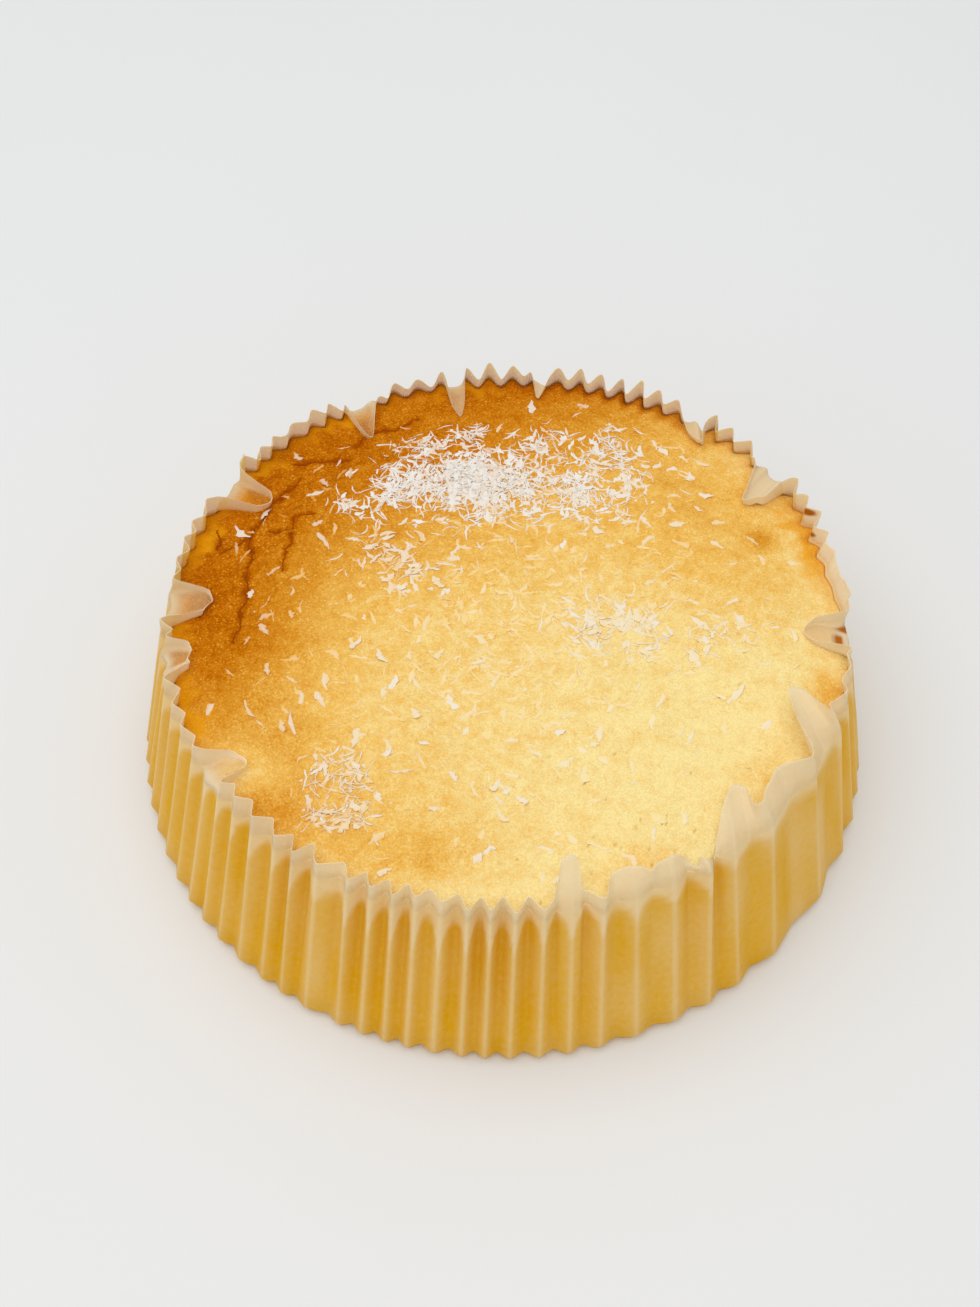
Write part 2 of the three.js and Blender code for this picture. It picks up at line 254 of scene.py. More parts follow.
# Browning of the crust: pale all over, with browner places that add up
Patch = namedtuple("Patch", "x y spread_x spread_y amount")
PALE_BROWNING = 0.02
HIDDEN_BROWNING = 0.5
BROWNED = [
    Patch(-76, 8, 22, 38, 0.85),
    Patch(-50, 54, 25, 21, 0.72),
    Patch(-5, 84, 46, 22, 0.82),
    Patch(-14, 30, 34, 22, 0.25),
    Patch(54, 36, 22, 20, 0.26),
    Patch(62, 51, 9, 6, -0.14),
    Patch(62, 4, 14, 12, 0.12),
    Patch(-8, -18, 26, 18, 0.09),
    Patch(-55, 32, 9, 6, 0.2),
    Patch(-36, -54, 24, 15, 0.17),
    Patch(66, 23, 3, 3, 0.3),
    Patch(-58, -9, 5, 4, 0.2),
    Patch(-66, -6, 4, 9, 0.2),
    Patch(-51, -37, 6, 5, 0.15),
    Patch(-20, -68, 9, 4, 0.2),
    Patch(78, -24, 4, 5, 0.3),
    Patch(-65, -45, 7, 5, -0.5),
    Patch(31, -70, 5, 4, 0.1),
    Patch(62, -48, 5, 4, 0.15),
    Patch(-55, -54, 8, 5, 0.35),
    Patch(-12, 54, 20, 9, 0.35),
    Patch(-8, -63, 17, 6, 0.06),
    Patch(-38, -62, 6, 4, 0.1),
]

# Where a net of fine wrinkles, painted as lines of shade, shows in the crust
WRINKLED = [
    Patch(-62, 28, 9, 14, 1.0),
    Patch(-48, 40, 9, 9, 0.7),
    Patch(-32, 62, 12, 5, 0.8),
    Patch(-68, 2, 6, 10, 0.7),
]

# Stretches of brown and of yolk-yellow edge, and how far in they reach and are full
BROWN_EDGE = Stretch(69, 30)
BROWN_EDGE_REACH, BROWN_EDGE_FULL = 6.5, 2.5
BROWN_EDGE_STRENGTH = 0.4
YOLK_EDGE = [
    Stretch(15, 16),
    Stretch(98, 10),
    Stretch(122, 16),
    Stretch(147, 16),
    Stretch(163, 10),
    Stretch(180, 9),
    Stretch(200, 15),
]
YOLK_REACH, YOLK_FULL = 7.5, 3.0
YOLK_UNEVENNESS = Noise(2.5, 4.0, 21)

# Coconut, strewn in patches: how high it is piled in their middles, and how sheer it is
Strewn = namedtuple("Strewn", "x y spread_x spread_y shreds pile sheer")
WHITE_SEED = 41
HEAPS = [
    Strewn(-8, 43, 9, 5, 520, 0.4, 0.0),
    Strewn(0, 40.5, 15, 6.5, 480, 0.2, 0.12),
    Strewn(-27, 40.5, 4, 3.5, 95, 0.3, 0.0),
    Strewn(-38, 36, 4, 2.5, 24, 0.1, 0.15),
    Strewn(-21, 56, 4, 2, 50, 0.2, 0.15),
    Strewn(-8, 60, 5, 2, 45, 0.2, 0.15),
    Strewn(12, 57, 3.5, 3, 50, 0.2, 0.1),
    Strewn(20, 39.5, 2.5, 5, 85, 0.3, 0.05),
    Strewn(29, 36, 4, 4, 45, 0.2, 0.15),
    Strewn(30, 53, 4.5, 5, 100, 0.3, 0.1),
    Strewn(36, 44, 2, 4, 30, 0.1, 0.2),
    Strewn(-42, -47, 2, 3, 32, 0.3, 0.35),
    Strewn(-35, -46, 2, 3.5, 40, 0.4, 0.35),
    Strewn(-33, -55, 2, 3.5, 32, 0.4, 0.35),
    Strewn(-41, -56, 3, 1.6, 28, 0.4, 0.4),
    Strewn(-36, -59, 3, 1.4, 22, 0.4, 0.45),
]
CLUSTERS = [
    Strewn(-29.5, 20, 4, 4, 40, 0.3, 0.4),
    Strewn(-19, 12.5, 4.5, 4, 45, 0.3, 0.4),
    Strewn(21, -5.5, 3, 4.5, 60, 0.3, 0.35),
    Strewn(30, -1.5, 5, 3, 60, 0.2, 0.4),
    Strewn(35, -9.5, 3, 3.5, 38, 0.2, 0.4),
    Strewn(50.5, -10, 4, 4, 26, 0.2, 0.45),
    Strewn(61.5, -5, 5, 4, 16, 0.1, 0.5),
]
SCATTERED = [
    Strewn(-10, 0, 36, 34, 150, 0.0, 0.58),
    Strewn(-4, -40, 28, 17, 60, 0.0, 0.5),
    Strewn(48, 16, 12, 9, 26, 0.0, 0.5),
    Strewn(44, 42, 9, 9, 18, 0.0, 0.4),
]
BAKED_SEED = 43
BAKED = [
    Strewn(5, -7, 18, 18, 220, 0.0, 0.6),
    Strewn(0, -5, 36, 34, 200, 0.0, 0.6),
]

# The largest flakes, each where it lies
Flake = namedtuple("Flake", "x y heading length width")
LARGE_FLAKES = [
    Flake(-66.9, 27.5, -45, 6, 2.4),
    Flake(-54.4, 55.3, -55, 4, 1.7),
    Flake(-48.5, 40.3, 8, 5, 1.7),
    Flake(-46, 44.1, -55, 4.5, 1.7),
    Flake(-39.5, 47, 85, 4.2, 1.6),
    Flake(-61, 33.8, 57, 4.2, 1.1),
    Flake(-62.5, 7, 60, 2.4, 1.8),
    Flake(-45, 23.3, -53, 6, 1.6),
    Flake(-31.5, 34.5, 43, 5.4, 1.2),
    Flake(-24.5, 19.3, 88, 6.5, 1.9),
    Flake(9, 72, 88, 6.5, 2.2),
    Flake(23, 72, -25, 3.5, 1.8),
    Flake(43.8, 54.4, -52, 4.2, 1.6),
    Flake(53, 50, -42, 6, 1.3),
    Flake(49.8, 44.4, 75, 3.2, 2.2),
    Flake(53.5, 37.4, -15, 4, 1.7),
    Flake(25, 25.3, -40, 3.5, 1.8),
    Flake(-58.3, -4.4, -60, 4.4, 1.8),
    Flake(-56.5, -16.8, -70, 4, 1.7),
    Flake(-60.6, -28.2, -75, 6, 1.2),
    Flake(-52.2, -32.9, -80, 3.6, 1.9),
    Flake(-50, -32.1, -80, 6.5, 1.0),
    Flake(-43.4, -26, -70, 4.8, 1.7),
    Flake(-34.7, -36.5, 75, 5.6, 1.9),
    Flake(-35.5, -9.4, 60, 5, 1.7),
    Flake(-29.5, -13.3, -50, 5, 1.8),
    Flake(-27, -70.7, 35, 3.4, 1.5),
    Flake(46, -15.3, -60, 5, 2.2),
    Flake(55, -25.2, 48, 7, 1.7),
    Flake(-11.8, -47.5, 120, 3.2, 2.0),
    Flake(-2, -49.5, 50, 4.2, 1.6),
    Flake(3.6, -53.3, -40, 3.2, 2.0),
    Flake(-24, -46.2, 2, 6, 0.9),
    Flake(-27.3, -41, 10, 2.6, 1.6),
    Flake(-18.8, -38.2, 0, 2.8, 1.2),
    Flake(-4.2, -66, 30, 3.6, 1.4),
    Flake(-6.6, -67.9, 60, 3, 1.8),
    Flake(-21, -29.8, -65, 3.6, 1.8),
    Flake(-26.2, -21.1, 60, 4.2, 1.8),
    Flake(12.7, -36, 15, 3, 2.0),
    Flake(20.6, -39.3, 30, 2.6, 1.6),
    Flake(-16.1, -55.8, 5, 2.8, 1.4),
]
FLAKE_LIFT = 0.1
FLAKE_TAPER = 1.5
FLAKE_THICKNESS = 0.2
FLAKE_SHEERS = (0.15, 0.5)

# Shreds are thin three-cornered bars with ragged, sheer edges
STATIONS = 7
CORNERS = 3
SHRED_LIMIT = 76.0
SHRED_THICKNESSES = (0.1, 0.18)
SHRED_NARROWING = 0.85
SHRED_RAGGEDNESS = (0.35, 1.5)
SHRED_SINKING = 0.1
SHRED_EDGE_SHEER = 1.6
SHEER_SPREAD = 0.12
ROLL_OFFSET = 0.3

# How far shreds bend, kink and twist, in radians, how far their ends rise, and where their widest place is
Curl = namedtuple("Curl", "bend kink twist rise peak")
SHRED_CURL = Curl(0.2, 0.3, 0.2, 0.05, 0.5)
FLAKE_CURL = Curl(0.12, 0.25, 0.3, 0.2, 0.4)
PILED_TWIST, PILED_RISE = 0.2, 0.25

# Kinds of shreds: threads, slivers, flakes and crumbs
Kind = namedtuple("Kind", "share length_from length_to width_from width_to taper")
HEAPED_KINDS = [
    Kind(0.60, 2.5, 6.0, 0.25, 0.5, 4.0),
    Kind(0.22, 2.5, 5.0, 0.5, 1.1, 2.0),
    Kind(0.10, 2.0, 4.5, 1.1, 2.0, 1.3),
    Kind(0.08, 0.8, 1.8, 0.5, 1.1, 2.0),
]
CLUSTERED_KINDS = [
    Kind(0.40, 2.5, 6.0, 0.3, 0.6, 4.0),
    Kind(0.26, 2.5, 5.0, 0.6, 1.2, 2.0),
    Kind(0.24, 2.5, 5.0, 1.2, 2.3, 1.3),
    Kind(0.10, 0.8, 1.8, 0.5, 1.1, 2.0),
]
SCATTERED_KINDS = [
    Kind(0.22, 2.5, 6.0, 0.3, 0.6, 4.0),
    Kind(0.28, 2.5, 5.0, 0.7, 1.3, 2.0),
    Kind(0.38, 2.5, 5.5, 1.2, 2.5, 1.3),
    Kind(0.12, 0.8, 1.8, 0.6, 1.2, 2.0),
]
BAKED_KINDS = [
    Kind(0.3, 3.0, 5.5, 0.4, 0.7, 3.0),
    Kind(0.5, 2.5, 5.0, 0.7, 1.4, 2.0),
    Kind(0.2, 1.0, 2.5, 0.7, 1.4, 2.0),
]
Shred = namedtuple(
    "Shred",
    "x y lift heading length width taper thickness bend kink twist rise peak sheer",
)


def mix(first, second, share):
    return first + (second - first) * share


def smoothstep(value, low, high):
    share = np.clip((value - low) / (high - low), 0, 1)
    return share * share * (3 - 2 * share)


def nearness(angle, feature):
    """1 at a feature's angle, fading to 0 at its half width. The angle is in radians."""
    away = np.abs((angle - math.radians(feature.angle) + np.pi) % (2 * np.pi) - np.pi)
    return 0.5 + 0.5 * np.cos(np.pi * np.minimum(away / math.radians(feature.half_width), 1))


def level_sum(angle, levels):
    return sum(level.rise * nearness(angle, level) for level in levels)


def noise(x, y, kind):
    """Smooth noise over a plane, up and down by a kind's strength. It repeats after many bumps."""
    lattice = np.random.default_rng(kind.seed).uniform(-1, 1, (NOISE_REPEAT, NOISE_REPEAT))
    x, y = x / kind.size, y / kind.size
    left, low = np.floor(x), np.floor(y)
    share_x, share_y = smoothstep(x - left, 0, 1), smoothstep(y - low, 0, 1)
    i, j = left.astype(int) % NOISE_REPEAT, low.astype(int) % NOISE_REPEAT
    i_next, j_next = (i + 1) % NOISE_REPEAT, (j + 1) % NOISE_REPEAT
    front = mix(lattice[i, j], lattice[i_next, j], share_x)
    back = mix(lattice[i, j_next], lattice[i_next, j_next], share_x)
    return kind.strength * mix(front, back, share_y)


def wall_share(height):
    """How far up the wall a height is: 0 at the heel and 1 at the rim."""
    return np.maximum((height - HEEL_HEIGHT) / (RIM_HEIGHT - HEEL_HEIGHT), 0)


def wall_radius(height):
    return mix(BASE_RADIUS, RIM_RADIUS, wall_share(height))


def place(angle, radius, height, share):
    """Points about the wall's middle line, which drifts off the foot's middle on its way up."""
    x = RIM_SHIFT_X * share + radius * np.cos(angle)
    y = RIM_SHIFT_Y * share + radius * mix(1, RIM_SQUEEZE, share) * np.sin(angle)
    return np.stack([x, y, height], axis=-1)


def edge_height(angle):
    """Height of the cake's edge, from which the dome rises."""
    lifted = FRONT_LIFT * nearness(angle, FRONT) - BACK_DROP * nearness(angle, BACK_EDGE)
    return EDGE_HEIGHT + lifted


def meeting_height(angle):
    """Height of the crust's outermost line, where the paper stands free above it."""
    return mix(edge_height(angle), CROWN_HEIGHT, MEETING_DOME)


EDGE_TOP = EDGE_HEIGHT + FRONT_LIFT
EDGE_SHARE = wall_share(EDGE_TOP)
EDGE_RADIUS = wall_radius(EDGE_TOP) - PAPER
EDGE_MIDDLE_X, EDGE_MIDDLE_Y = RIM_SHIFT_X * EDGE_SHARE, RIM_SHIFT_Y * EDGE_SHARE
EDGE_SQUEEZE = mix(1, RIM_SQUEEZE, EDGE_SHARE)


def crust_form(outward, angle, x, y):
    """Height of the crust: a flat dome with ripples, lumps and a sunken left shoulder."""
    dome = (1 - (EDGE_MEETING * outward) ** SHOULDER_POWER) ** SHOULDER_ROUNDING
    ripple = sum(w.height * np.sin(w.along_x * x + w.along_y * y + w.phase) for w in RIPPLES)
    sunken = SAG_DEPTH * smoothstep(outward, SAG_FROM, SAG_TO) * nearness(angle, SAG)
    lumps = sum(noise(x, y, lump) for lump in LUMPS)
    fade = np.minimum(SHOULDER_POWER * (1 - outward), 1)
    return mix(edge_height(angle), CROWN_HEIGHT, dome) + (ripple + lumps - sunken) * fade


def crust_height(x, y):
    across, along = x - EDGE_MIDDLE_X, (y - EDGE_MIDDLE_Y) / EDGE_SQUEEZE
    outward = np.minimum(np.hypot(across, along) / EDGE_RADIUS, 1)
    return crust_form(outward, np.arctan2(along, across), x, y)


def column_angles():
    return 2 * np.pi * np.arange(COLUMNS) / COLUMNS


def pleating(angle, part):
    """One property of the pleats at each angle."""
    value = getattr(PLAIN_PLEATING, part) + 0 * angle
    for stretch in PLEATING:
        value = mix(value, getattr(stretch, part), nearness(angle, stretch))
    return value


def pleat_turns(angle):
    """How many pleats lie between angle 0 and each angle. They add up to a whole number."""
    steps = 2 * np.pi * np.arange(COLUMNS + 1) / COLUMNS
    closeness = pleating(steps, "closeness")
    turns = np.concatenate([[0], np.cumsum(closeness[1:])])
    whole = round(360 / PLEAT_ANGLE * closeness.mean())
    return np.interp(angle, steps, turns * whole / turns[-1])


def pleat_noise(angle, kind):
    """Noise that changes from pleat to pleat."""
    return noise(pleat_turns(angle), 0 * angle, kind)


def pleat_wave(angle):
    """1 on the pleats' outer folds and -1 on their inner folds."""
    turns = pleat_turns(angle) + pleat_noise(angle, PLEAT_WANDER)
    sharpness = pleating(angle, "sharpness")
    return np.arcsin(sharpness * np.cos(2 * np.pi * turns)) / np.arcsin(sharpness)


def flap_share(angle, flap):
    """1 at a flap's broad or pointed middle, fading to 0 at its half width."""
    pointed = nearness(angle, flap)
    return mix(pointed, smoothstep(pointed, 0, BROAD_MIDDLE), flap.breadth)


def flap_bend(free, flap):
    """How far a flap has leaned in on the way up the free paper."""
    return mix(free**BEND_POWER, smoothstep(free, 0, FOLD_SHARE), flap.lies)


def flap_sum(angle, free, part):
    """One property of the flaps, added up for points of the free paper."""
    return sum(getattr(flap, part) * flap_share(angle, flap) * flap_bend(free, flap) for flap in FLAPS)


def lying_share(angle):
    """How far the free paper at each angle is folded in onto the crust."""
    folded = sum(flap.lies * flap.lean / FOLDED_LEAN * flap_share(angle, flap) for flap in FLAPS)
    return np.clip(folded, 0, 1)


def clear_share(angle):
    """How clear the paper is that lies on the crust."""
    return np.clip(sum(flap.clear * flap_share(angle, flap) for flap in FLAPS), 0, 1)


def behind_share(angle):
    """1 at the back of the case, fading to 0 at its front."""
    return smoothstep(nearness(angle, BACK), 0, BACK_FULL)


def rim_reach(angle):
    """How far the pleats' folds lie from the middle of the sheet at the rim."""
    uneven = 1 + pleat_noise(angle, PLEAT_UNEVENNESS)
    leaning = np.clip(flap_sum(angle, 1, "lean") / FLATTENED_LEAN, 0, 1)
    bunched = lying_share(angle) * (1 - clear_share(angle))
    kept = mix(1, mix(FLAT_DEPTH, BUNCHED_DEPTH, bunched), leaning)
    return PLEAT_REACH_RIM * pleating(angle, "depth") * uneven * kept


def rim_rise(angle):
    """How far the rim is above or below its usual height."""
    waves = sum(w.height * np.sin(w.count * angle + w.phase) for w in RIM_WAVES)
    levels = level_sum(angle, RIM_LEVELS)
    tips = pleat_noise(angle, TIP_UNEVENNESS)
    flaps = sum(flap.rise * flap_share(angle, flap) for flap in FLAPS)
    return waves + levels + tips + flaps


def paper_rows(angle):
    """Heights of the sheet's rows up the wall, and how far each row is up the free paper, 0 to 1."""
    edge = meeting_height(angle)
    lower = [mix(HEEL_HEIGHT, edge, 1 - (1 - k / LOWER_ROWS) ** 2) for k in range(LOWER_ROWS)]
    shares = np.linspace(0, 1, FREE_ROWS + 1)
    free = [mix(edge, RIM_HEIGHT, share) for share in shares]
    free_share = np.concatenate([np.zeros(LOWER_ROWS), shares])
    return np.array(lower + free), np.repeat(free_share[:, None], len(angle), axis=1)


def paper_sheet():
    """The paper's outer face: angles, radii, heights, and shares of the wall and of the free paper."""
    angle = column_angles()
    height, free = paper_rows(angle)
    share = wall_share(height)
    pressed = smoothstep(height, DENT_FROM, EDGE_HEIGHT) * (1 - free)
    dent = DENT.depth * nearness(angle, DENT) * pressed
    radius = wall_radius(height) - dent - flap_sum(angle, free, "lean")
    level = height + free**BEND_POWER * rim_rise(angle)
    turned = angle + np.radians(flap_sum(angle, free, "skew"))
    out_r, out_z = sheet_normals(radius, level)
    unrest = mix(1, CRUMPLE_GAIN, nearness(angle, CRUMPLED)) * free
    crumple = unrest * noise(angle * RIM_RADIUS, height, CRUMPLE)
    heel_reach = PLEAT_REACH_HEEL * np.sqrt(np.minimum(pleating(angle, "depth"), 1))
    reach = mix(heel_reach, rim_reach(angle), share) * pleat_wave(angle) + crumple
    return turned, radius + reach * out_r, level + reach * out_z, share, free


def sheet_normals(radius, level):
    """Which way the sheet faces outwards, in the plane through the middle line."""
    along_r, along_z = np.gradient(radius, axis=0), np.gradient(level, axis=0)
    length = np.hypot(along_r, along_z)
    return along_z / length, -along_r / length


def rest_on_crust(points, free, clearance):
    """Lifts the free paper that would lie in the crust."""
    crust = crust_height(points[..., 0], points[..., 1])
    lifted = np.maximum(points[..., 2], crust + clearance)
    points[..., 2] = mix(points[..., 2], lifted, smoothstep(free, 0, RESTING_FROM))
    return points


def ring_quads(first, second, count):
    """Quads between two rings of points, given by the index of their first points."""
    here = np.arange(count)
    ahead = (here + 1) % count
    return np.stack([first + here, first + ahead, second + ahead, second + here], axis=1)


def fan(first, middle, up=False):
    """Triangles from a ring of points to its middle, facing down or up."""
    ring = [(first + k, first + (k + 1) % COLUMNS) for k in range(COLUMNS)]
    return [(a, b, middle) if up else (b, a, middle) for a, b in ring]


def add_object(name, content):
    item = bpy.data.objects.new(name, content)
    bpy.context.scene.collection.objects.link(item)
    return item


def add_piece(name, points, faces, material, attributes, smooth):
    """A mesh piece in the part's frame, with a number for each point under each attribute."""
    mesh = bpy.data.meshes.new(name)
    mesh.from_pydata((points * MM).tolist(), [], faces)
    mesh.polygons.foreach_set("use_smooth", smooth)
    for label, values in attributes.items():
        layer = mesh.attributes.new(label, "FLOAT", "POINT")
        layer.data.foreach_set("value", values.astype(np.float32).ravel())
    mesh.materials.append(material)
    piece = add_object(name, mesh)
    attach(piece, "root")
    return piece


def frost(angle, height, closeness):
    """How pale the paper is where it lies a little off the cake, in upright streaks."""
    streaks = noise(angle * RIM_RADIUS / FROST_WIDTH, height / FROST_LENGTH, FROST_STREAKS)
    return mix(FROSTED_WIDE, FROSTED_CLOSE, np.minimum(closeness, 1)) * (1 + streaks)


def glow(angle, height):
    """How golden the paper is above the arches. At the back it also holds painted warm light from a wooden
    box around the case, which is not built, and the box's colour seen through the paper.
    """
    behind = behind_share(angle)
    gold, end, full = (mix(*ends, behind) for ends in zip(TOP_GLOW, BACK_GLOW))
    return gold * smoothstep(edge_height(angle) - height, -end, -full)


def golden_share(angle, height, clear):
    """How golden the paper is. The cake shows through where they touch and where the paper is clear."""
    wave, closeness = pleat_wave(angle), pleating(angle, "closeness")
    outer = 0.5 + 0.5 * wave
    arch = edge_height(angle) + ARCH_TOP - ARCH_HEIGHT * closeness**2 * (1 - np.sqrt(1 - outer**2))
    arch = arch + noise(angle * RIM_RADIUS, height, ARCH_WANDER) + level_sum(angle, GOLD_LEVELS)
    blur = ARCH_BLUR * mix(WIDE_BLUR, 1, np.minimum(closeness, 1))
    golden = smoothstep(arch - height, -blur, blur) * mix(1, mix(1, CREST_GOLD, closeness), outer**2)
    golden = np.maximum(golden, glow(angle, height))
    golden = golden * (1 - CREASE_PALENESS * smoothstep(wave, CREASED_FROM, 1))
    golden = golden * (1 - frost(angle, height, closeness))
    return np.maximum(golden, CLEAR_GOLD * clear)


def stain_share(angle, height):
    """1 on the paper's brown spots."""
    stain = np.zeros_like(height)
    for spot in STAINS:
        away = ((np.degrees(angle) - spot.angle) / spot.spread_angle) ** 2
        stain = np.maximum(stain, np.exp(-away - ((height - spot.height) / spot.spread_height) ** 2))
    return smoothstep(stain, STAIN_FROM, STAIN_FULL)


def toast_share(angle, height):
    """How toasted the pleats' outer folds are above the cake's edge."""
    above = height - edge_height(angle)
    band = smoothstep(TOAST_HEIGHT - above, 0, TOAST_FADE_UP) * smoothstep(above, -TOAST_FADE_DOWN, 0)
    outer = 0.5 + 0.5 * pleat_wave(angle)
    return TOAST_STRENGTH * nearness(angle, TOASTED) * band * outer


def paper_looks(outside, free):
    """How golden, opaque and stained the paper is, how white painted light makes its end and flaps, and
    how much painted light brightens its inner face at the back.
    """
    angle = column_angles()
    height, _ = paper_rows(angle)
    behind, lying, clearness = behind_share(angle), lying_share(angle), clear_share(angle)
    gap = outside[..., 2] - crust_height(outside[..., 0], outside[..., 1])
    clear = clearness * smoothstep(free, CLEAR_FROM, CLEAR_FULL) * smoothstep(CLEAR_GAP - gap, 0, 1)
    free_from, free_full = (mix(*ends, lying) for ends in zip(STANDING_RANGE, FOLDED_RANGE))
    loose = smoothstep(height - edge_height(angle), free_from, free_full)
    end = smoothstep(free, END_FROM, 1)
    stain = stain_share(angle, height)

    crease = smoothstep(np.abs(pleat_wave(angle)), CREASED_FROM, 1) * (1 - lying) * (1 - behind)
    standing = mix(mix(FREE_COVER, BACK_COVER, behind), CREASE_COVER, crease)
    cover = mix(1, mix(standing, FLAP_COVER, lying * (1 - clearness)), loose)
    cover = mix(mix(cover, CLEAR_COVER, clear), END_COVER, end)
    # Painted light: it whitens the flaps, for light through the thin paper, and adds a highlight along the
    # paper's end
    flap_light = FLAP_PAINTED_LIGHT * lying * loose * (1 - clear) * (1 - FLAP_DULLNESS * behind)
    white = np.maximum(end * (1 - END_DULLNESS * behind), flap_light)
    looks = {
        "golden": golden_share(angle, height, clear),
        "cover": np.maximum(cover, stain),
        # The rim share is painted light: a highlight along the paper's end and light through the thin
        # paper of flaps
        "rim": white * (1 - stain),
        "stain": np.maximum(stain, toast_share(angle, height)),
    }
    # Painted light on the inner face at the back, standing in for light shining through the thin paper
    painted_backlight = behind * loose * (1 - lying) * (1 - end)
    return looks, painted_backlight


def around_sheet(outer, inner):
    """A number for each point of the case, from those on its sheet's two faces."""
    rings = [outer[:1], outer, inner[::-1], inner[:1]]
    return np.append(np.concatenate(rings), [outer[0, 0], inner[0, 0]])


def make_paper(material):
    """The paper case. Gives the rows of its inner face."""
    turned, radius, level, share, free = paper_sheet()
    out_r, out_z = sheet_normals(radius, level)
    outside = rest_on_crust(place(turned, radius, level, share), free, PAPER_CLEARANCE + PAPER)
    inside = place(turned, radius - PAPER * out_r, level - PAPER * out_z, share)
    inside = rest_on_crust(inside, free, PAPER_CLEARANCE)
    angle = column_angles()
    foot = place(angle, radius[0] - HEEL_TUCK, 0 * angle, share[0])
    floor = place(angle, radius[0] - HEEL_TUCK - PAPER, 0 * angle + PAPER, share[0])
    rings = [foot, *outside, *inside[::-1], floor]
    faces = [ring_quads(k * COLUMNS, (k + 1) * COLUMNS, COLUMNS) for k in range(len(rings) - 1)]
    points = np.concatenate([*rings, [[0, 0, 0], [0, 0, PAPER]]])
    last = len(points) - 2
    faces = np.concatenate(faces).tolist() + fan(0, last) + fan(last - COLUMNS, last + 1, True)
    looks, painted_backlight = paper_looks(outside, free)
    attributes = {label: around_sheet(field, field) for label, field in looks.items()}
    # The painted light at the back goes on the inner face only
    attributes["painted_backlight"] = around_sheet(0 * painted_backlight, painted_backlight)
    # All faces are smooth except the rim's narrow edge and the two faces of the floor
    smooth = np.ones(len(faces), dtype=bool)
    rim = len(outside) * COLUMNS
    smooth[rim:rim + COLUMNS] = False
    smooth[-2 * COLUMNS:] = False
    piece = add_piece("paper", points, faces, material, attributes, smooth)
    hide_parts("paper_case")
    return inside


def disc_grid(steps):
    """A square grid laid out as a disc: each point's share of the radius and its angle."""
    line = np.linspace(-1, 1, steps + 1)
    a, b = np.meshgrid(line, line, indexing="ij")
    sideways = np.abs(a) >= np.abs(b)
    reach = np.where(sideways, a, b)
    safe = np.where(reach == 0, 1, reach)
    turn = np.where(sideways, b / safe, 2 - a / safe) * np.pi / 4
    return np.abs(reach), turn + np.where(reach < 0, np.pi, 0)


def grid_index(steps):
    return np.arange((steps + 1) ** 2).reshape(steps + 1, steps + 1)


def grid_border(steps):
    """Indices of the grid's border points, in the order of their angles from 0."""
    index = grid_index(steps)
    border = np.concatenate([index[steps, :-1], index[:0:-1, steps], index[0, :0:-1], index[:-1, 0]])
    return np.roll(border, -steps // 2)


def grid_quads(steps):
    index = grid_index(steps)
    corners = [index[:-1, :-1], index[1:, :-1], index[1:, 1:], index[:-1, 1:]]
    return np.stack([corner.ravel() for corner in corners], axis=1)


def crack_field(x, y):
    """Nearness to a crack, 1 on its line and 0 where its reach ends, and the distance beside it."""
    for wander in CRACK_WANDER:
        x = x + noise(x, y, wander)
        y = y + noise(x, y, wander._replace(seed=wander.seed + 1))
    nearest, side = np.full(x.shape, np.inf), np.zeros(x.shape)
    for line in CRACKS:
        for start, end in zip(line, line[1:]):
            across, along = end[0] - start[0], end[1] - start[1]
            length = math.hypot(across, along)
            ahead = ((x - start[0]) * across + (y - start[1]) * along) / length
            beside = ((y - start[1]) * across - (x - start[0]) * along) / length
            away = np.hypot(beside, ahead - np.clip(ahead, 0, length))
            side = np.where(away < nearest, beside, side)
            nearest = np.minimum(away, nearest)
    return np.maximum(1 - nearest / CRACK_REACH, 0), side


def pore_field(x, y):
    """Depth share of the small open pores."""
    draw = np.random.default_rng(PORE_SEED)
    field = np.zeros_like(x)
    for patch in PITTED:
        for _ in range(patch.pores):
            middle_x, middle_y = draw.normal((patch.x, patch.y), patch.spread)
            size, stretch = draw.uniform(*PORE_SIZES), draw.uniform(*PORE_STRETCHES)
            away = np.hypot((x - middle_x) / stretch, (y - middle_y) * stretch)
            field = np.maximum(field, 1 - (away / size) ** 2)
    return np.maximum(field, 0)


def patch_share(x, y, patch):
    """1 in a patch's middle, fading out with its spread."""
    away = ((x - patch.x) / patch.spread_x) ** 2 + ((y - patch.y) / patch.spread_y) ** 2
    return np.exp(-away / 2)


def browning(x, y):
    """How brown the crust is baked, from 0 to 1."""
    pale = 1 - PALE_BROWNING
    for patch in BROWNED:
        pale = pale * (1 - patch.amount * patch_share(x, y, patch))
    return np.maximum(1 - pale, 0)


def crust_grid(inside):
    """The crust's points from above: x, y, share of the radius, angle and distance from the paper."""
    outward, angle = disc_grid(CRUST_STEPS)
    edge = inside[LOWER_ROWS]
    edge_r = np.hypot(edge[:, 0] - EDGE_MIDDLE_X, (edge[:, 1] - EDGE_MIDDLE_Y) / EDGE_SQUEEZE)
    column = np.round(angle / (2 * np.pi) * COLUMNS).astype(int) % COLUMNS
    gap = mix(EDGE_GAP, FOLD_GAP, lying_share(angle))
    reach = mix(EDGE_RADIUS, edge_r[column] - gap, smoothstep(outward, PLEATED_FROM, 1))
    x = EDGE_MIDDLE_X + outward * reach * np.cos(angle)
    y = EDGE_MIDDLE_Y + outward * reach * np.sin(angle) * EDGE_SQUEEZE
    return x, y, outward, angle, edge_r[column] - outward * reach


